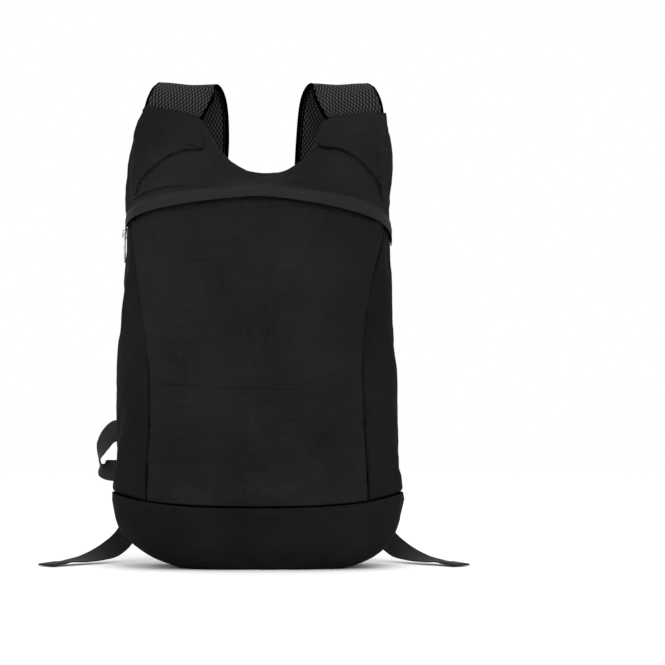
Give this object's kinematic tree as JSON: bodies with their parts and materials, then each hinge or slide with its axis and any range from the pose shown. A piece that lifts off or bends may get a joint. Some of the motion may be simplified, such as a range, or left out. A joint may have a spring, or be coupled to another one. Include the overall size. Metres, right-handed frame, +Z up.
{
  "type": "packable backpack",
  "caption": "Thin black cloth day backpack with a domed front zip, mesh shoulder straps, webbing tails and a side loop",
  "frame": {"origin": "middle of the bag's width at the base seam, on the plane that the bag stands on", "axes": "+Z up along the bag's height, -Y out of the front panel, +X to the right when the front is seen"},
  "size_m": [0.3973, 0.1635, 0.4609],
  "materials": {
    "polyester": "thin black woven polyester, slight sheen",
    "flap_cloth": "black polyester flap, a little lighter",
    "air_mesh": "black knitted air mesh with diamond holes",
    "binding_tape": "deep black edge binding",
    "webbing": "black ribbed webbing",
    "black_plastic": "moulded black plastic",
    "nickel": "worn grey nickel plating"
  },
  "bodies": {
    "bag": {"base_panel": "polyester", "front_panel": "polyester", "back_panel": "polyester", "yoke": "polyester", "side_panel_left": "polyester", "side_panel_right": "polyester", "zip_flap": "flap_cloth", "zip_slider": "nickel", "side_loop": "webbing", "shoulder_strap_left": "air_mesh", "shoulder_strap_right": "air_mesh", "strap_binding_left_inner": "binding_tape", "strap_binding_left_outer": "binding_tape", "strap_binding_right_inner": "binding_tape", "strap_binding_right_outer": "binding_tape", "lock_tab_left": "webbing", "lock_tab_right": "webbing", "ladder_lock_left": "black_plastic", "ladder_lock_right": "black_plastic", "adjust_webbing_left": "webbing", "adjust_webbing_right": "webbing"},
    "puller": {"zip_pull": "nickel"}
  },
  "joints": [
    {"name": "puller_swing", "type": "hinge", "parent": "bag", "child": "puller", "pos_m": [-0.12255, 0.00649, 0.30676], "axis": [0, 1, 0], "range_deg": [0, 150]}
  ]
}
